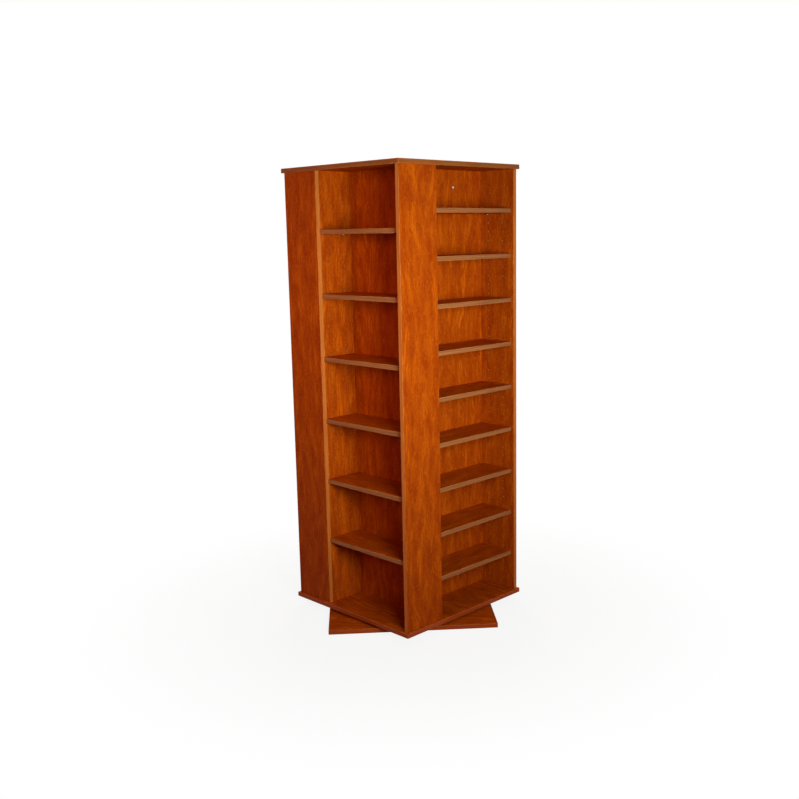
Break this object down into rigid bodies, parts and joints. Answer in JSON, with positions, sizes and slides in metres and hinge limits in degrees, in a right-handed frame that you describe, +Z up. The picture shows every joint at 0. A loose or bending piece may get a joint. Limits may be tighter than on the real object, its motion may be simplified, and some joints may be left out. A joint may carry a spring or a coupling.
{
  "type": "rotating media tower",
  "caption": "Square four-sided revolving storage tower: open shelf bays in a pinwheel of upright boards, on a ball-bearing swivel over a flat square base board.",
  "frame": {"origin": "on the floor, on the axis that the tower turns about", "axes": "+Z up along the turning axis; the tower faces square to the axes, with the seven-compartment front towards -Y and the ten-compartment side towards +X; the base board is turned 48.6 degrees from the tower"},
  "size_m": [0.8486, 0.8486, 1.6282],
  "materials": {
    "cherry_board": "satin cherry laminate on particleboard, banded edges",
    "pin_steel": "nickel-plated",
    "dowel_beech": "bare beech",
    "screw_zinc": "bright zinc plating",
    "bearing_sheet": "zinc-plated pressed sheet",
    "ball_steel": "polished",
    "cage_nylon": "moulded nylon",
    "glide_nylon": "moulded nylon"
  },
  "bodies": {
    "base": {"base_board": "cherry_board", "bearing_lower_plate": "bearing_sheet", "base_plate_screws": "screw_zinc", "base_glides": "glide_nylon"},
    "tower": {"bearing_upper_plate": "bearing_sheet", "bottom_board": "cherry_board", "bottom_screws": "screw_zinc", "corner_panel_back": "cherry_board", "corner_panel_front": "cherry_board", "corner_panel_left": "cherry_board", "corner_panel_right": "cherry_board", "divider_back": "cherry_board", "divider_front": "cherry_board", "divider_left": "cherry_board", "divider_right": "cherry_board", "divider_screws": "screw_zinc", "panel_dowels": "dowel_beech", "shelf_back_1": "cherry_board", "shelf_back_2": "cherry_board", "shelf_back_3": "cherry_board", "shelf_back_4": "cherry_board", "shelf_back_5": "cherry_board", "shelf_back_6": "cherry_board", "shelf_front_1": "cherry_board", "shelf_front_2": "cherry_board", "shelf_front_3": "cherry_board", "shelf_front_4": "cherry_board", "shelf_front_5": "cherry_board", "shelf_front_6": "cherry_board", "shelf_left_1": "cherry_board", "shelf_left_2": "cherry_board", "shelf_left_3": "cherry_board", "shelf_left_4": "cherry_board", "shelf_left_5": "cherry_board", "shelf_left_6": "cherry_board", "shelf_pins_back": "pin_steel", "shelf_pins_front": "pin_steel", "shelf_pins_left": "pin_steel", "shelf_pins_right": "pin_steel", "shelf_right_1": "cherry_board", "shelf_right_2": "cherry_board", "shelf_right_3": "cherry_board", "shelf_right_4": "cherry_board", "shelf_right_5": "cherry_board", "shelf_right_6": "cherry_board", "shelf_right_7": "cherry_board", "shelf_right_8": "cherry_board", "shelf_right_9": "cherry_board", "top_board": "cherry_board", "top_dowels": "dowel_beech", "tower_plate_screws": "screw_zinc"},
    "ball_ring": {"bearing_balls": "ball_steel", "bearing_cage": "cage_nylon"}
  },
  "joints": [
    {"name": "tower_spin", "type": "hinge", "parent": "base", "child": "tower", "pos_m": [0, 0, 0], "axis": [0, 0, 1], "continuous": true},
    {"name": "ball_ring_spin", "type": "hinge", "parent": "base", "child": "ball_ring", "pos_m": [0, 0, 0], "axis": [0, 0, 1], "continuous": true}
  ],
  "couplings": [
    {"joint": "ball_ring_spin", "follows": "tower_spin", "ratio": 0.5}
  ]
}
